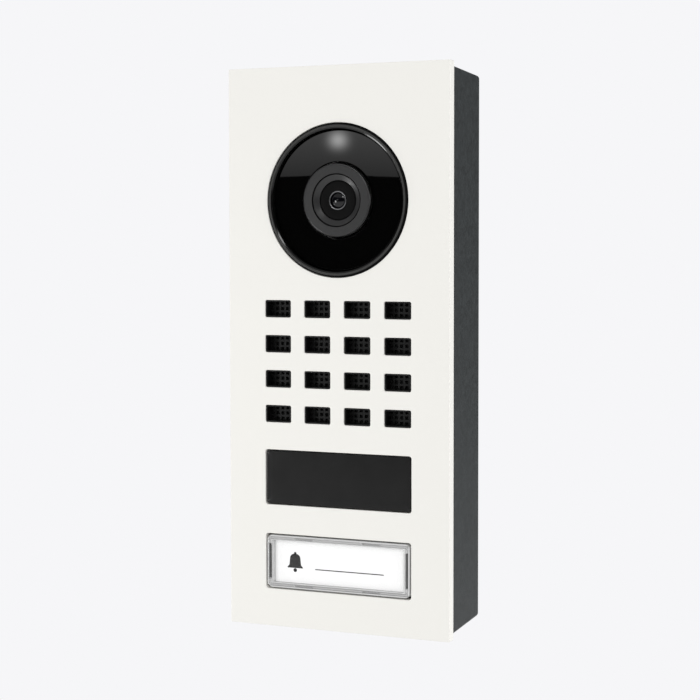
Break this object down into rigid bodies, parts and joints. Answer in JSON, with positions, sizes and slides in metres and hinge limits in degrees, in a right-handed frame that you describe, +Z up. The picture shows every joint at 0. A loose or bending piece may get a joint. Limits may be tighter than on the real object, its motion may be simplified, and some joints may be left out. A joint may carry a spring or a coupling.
{
  "type": "video doorbell",
  "caption": "slim wall-mounted video door station: round camera, slotted speaker grille, dark sensor window, clear call button with name card, drafted surface housing",
  "frame": {"origin": "centre of the housing's wall face", "axes": "+X right as a visitor sees the station, +Y into the wall, +Z up"},
  "size_m": [0.067, 0.0284, 0.157],
  "materials": {
    "panel_white": "fine satin powder coat",
    "housing_anthracite": "fine-textured powder coat",
    "seal_rubber": "matte",
    "screw_steel": "satin",
    "brass": "turned",
    "chassis_black": "moulded",
    "bezel_dark": "satin",
    "window_black": "polished",
    "collar_dark": "satin",
    "barrel_black": "satin",
    "lens_glass": "coated, polished",
    "filter_frame": "moulded",
    "filter_glass": "coated",
    "copper": "wound wire",
    "chip": "moulded",
    "board_green": "solder mask",
    "lamp": "clear moulded",
    "white_plastic": "moulded",
    "inner_grille_black": "matte",
    "mesh_black": "woven",
    "magnet_steel": "plated",
    "cone_paper": "coated",
    "tin": "satin",
    "sensor_window_dark": "satin",
    "cover_clear": "polished",
    "card_white": "smooth",
    "diffuser_white": "frosted",
    "carrier_black": "moulded",
    "spring_steel": "drawn",
    "terminal_green": "moulded"
  },
  "bodies": {
    "door_station": {"front_panel": "panel_white", "surface_housing": "housing_anthracite", "housing_gasket": "seal_rubber", "cable_grommet": "seal_rubber", "security_screws": "screw_steel", "chassis": "chassis_black", "chassis_nuts": "screw_steel", "cover_gasket": "seal_rubber", "rear_cover": "chassis_black", "cover_screws": "screw_steel", "board_pillars": "brass", "camera_bezel": "bezel_dark", "bezel_gasket": "seal_rubber", "camera_window": "window_black", "lens_collar": "collar_dark", "lens_barrel": "barrel_black", "front_lens": "lens_glass", "rear_lens": "lens_glass", "lens_holder": "chassis_black", "filter_solenoid": "copper", "image_sensor": "chip", "camera_board": "board_green", "camera_screws": "screw_steel", "lamp_board": "white_plastic", "infrared_lamps": "lamp", "camera_flex": "copper", "inner_grille": "inner_grille_black", "acoustic_mesh": "mesh_black", "speaker_gasket": "seal_rubber", "speaker_frame": "chassis_black", "speaker_magnet": "magnet_steel", "microphone": "tin", "microphone_boot": "seal_rubber", "sensor_window": "sensor_window_dark", "reader_board": "board_green", "reader_coil": "copper", "motion_sensor": "chip", "button_springs": "spring_steel", "button_guide": "chassis_black", "key_switches": "chip", "button_lamps": "lamp", "button_board": "board_green", "main_board": "board_green", "processor_shield": "tin", "network_terminal": "white_plastic", "terminal_block": "terminal_green", "terminal_screws": "screw_steel", "transformer": "chip", "capacitors": "chip", "relay": "white_plastic"},
    "call_button": {"button_cover": "cover_clear", "name_card": "card_white", "button_diffuser": "diffuser_white", "button_carrier": "carrier_black"},
    "switch_keys": {"switch_plungers": "white_plastic"},
    "night_filter": {"filter_carriage": "filter_frame", "infrared_filter": "filter_glass", "clear_filter": "filter_glass"},
    "speaker_diaphragm": {"speaker_cone": "cone_paper", "voice_coil": "copper"}
  },
  "joints": [
    {"name": "button_press", "type": "slide", "parent": "door_station", "child": "call_button", "axis": [0, 1, 0], "range_m": [0, 0.0008], "stiffness_N_per_m": 2000, "springref_m": -0.0005, "deforming": ["button_springs"]},
    {"name": "switch_press", "type": "slide", "parent": "door_station", "child": "switch_keys", "axis": [0, 1, 0], "range_m": [0, 0.0008]},
    {"name": "filter_slide", "type": "slide", "parent": "door_station", "child": "night_filter", "axis": [-1, 0, 0], "range_m": [0, 0.006]},
    {"name": "cone_travel", "type": "slide", "parent": "door_station", "child": "speaker_diaphragm", "axis": [0, 1, 0], "range_m": [-0.0004, 0.0004], "stiffness_N_per_m": 1000}
  ],
  "couplings": [
    {"joint": "switch_press", "follows": "button_press", "ratio": 1}
  ]
}
